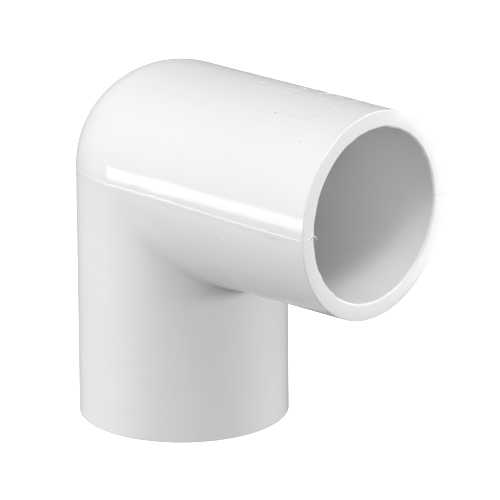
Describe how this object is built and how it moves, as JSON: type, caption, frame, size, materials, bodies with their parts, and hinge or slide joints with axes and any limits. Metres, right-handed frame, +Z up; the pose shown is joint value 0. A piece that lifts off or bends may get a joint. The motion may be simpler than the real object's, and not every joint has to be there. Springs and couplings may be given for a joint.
{
  "type": "pvc elbow fitting",
  "caption": "White PVC 90 degree slip by slip pipe elbow: a plain socket on each leg, a spherical outer corner and a parting line along the sides.",
  "frame": {"origin": "centre of the lower mouth, in the plane of its rim", "axes": "+Z up along the lower leg's axis, +X along the side leg's axis out of its mouth, +Y across"},
  "size_m": [0.0555, 0.0324, 0.0556],
  "materials": {
    "white_pvc": "moulded gloss, slightly streaked"
  },
  "bodies": {
    "root": {"lower_socket": "white_pvc", "side_socket": "white_pvc", "bend": "white_pvc", "parting_line_flash": "white_pvc", "raised_marks": "white_pvc"}
  },
  "joints": []
}
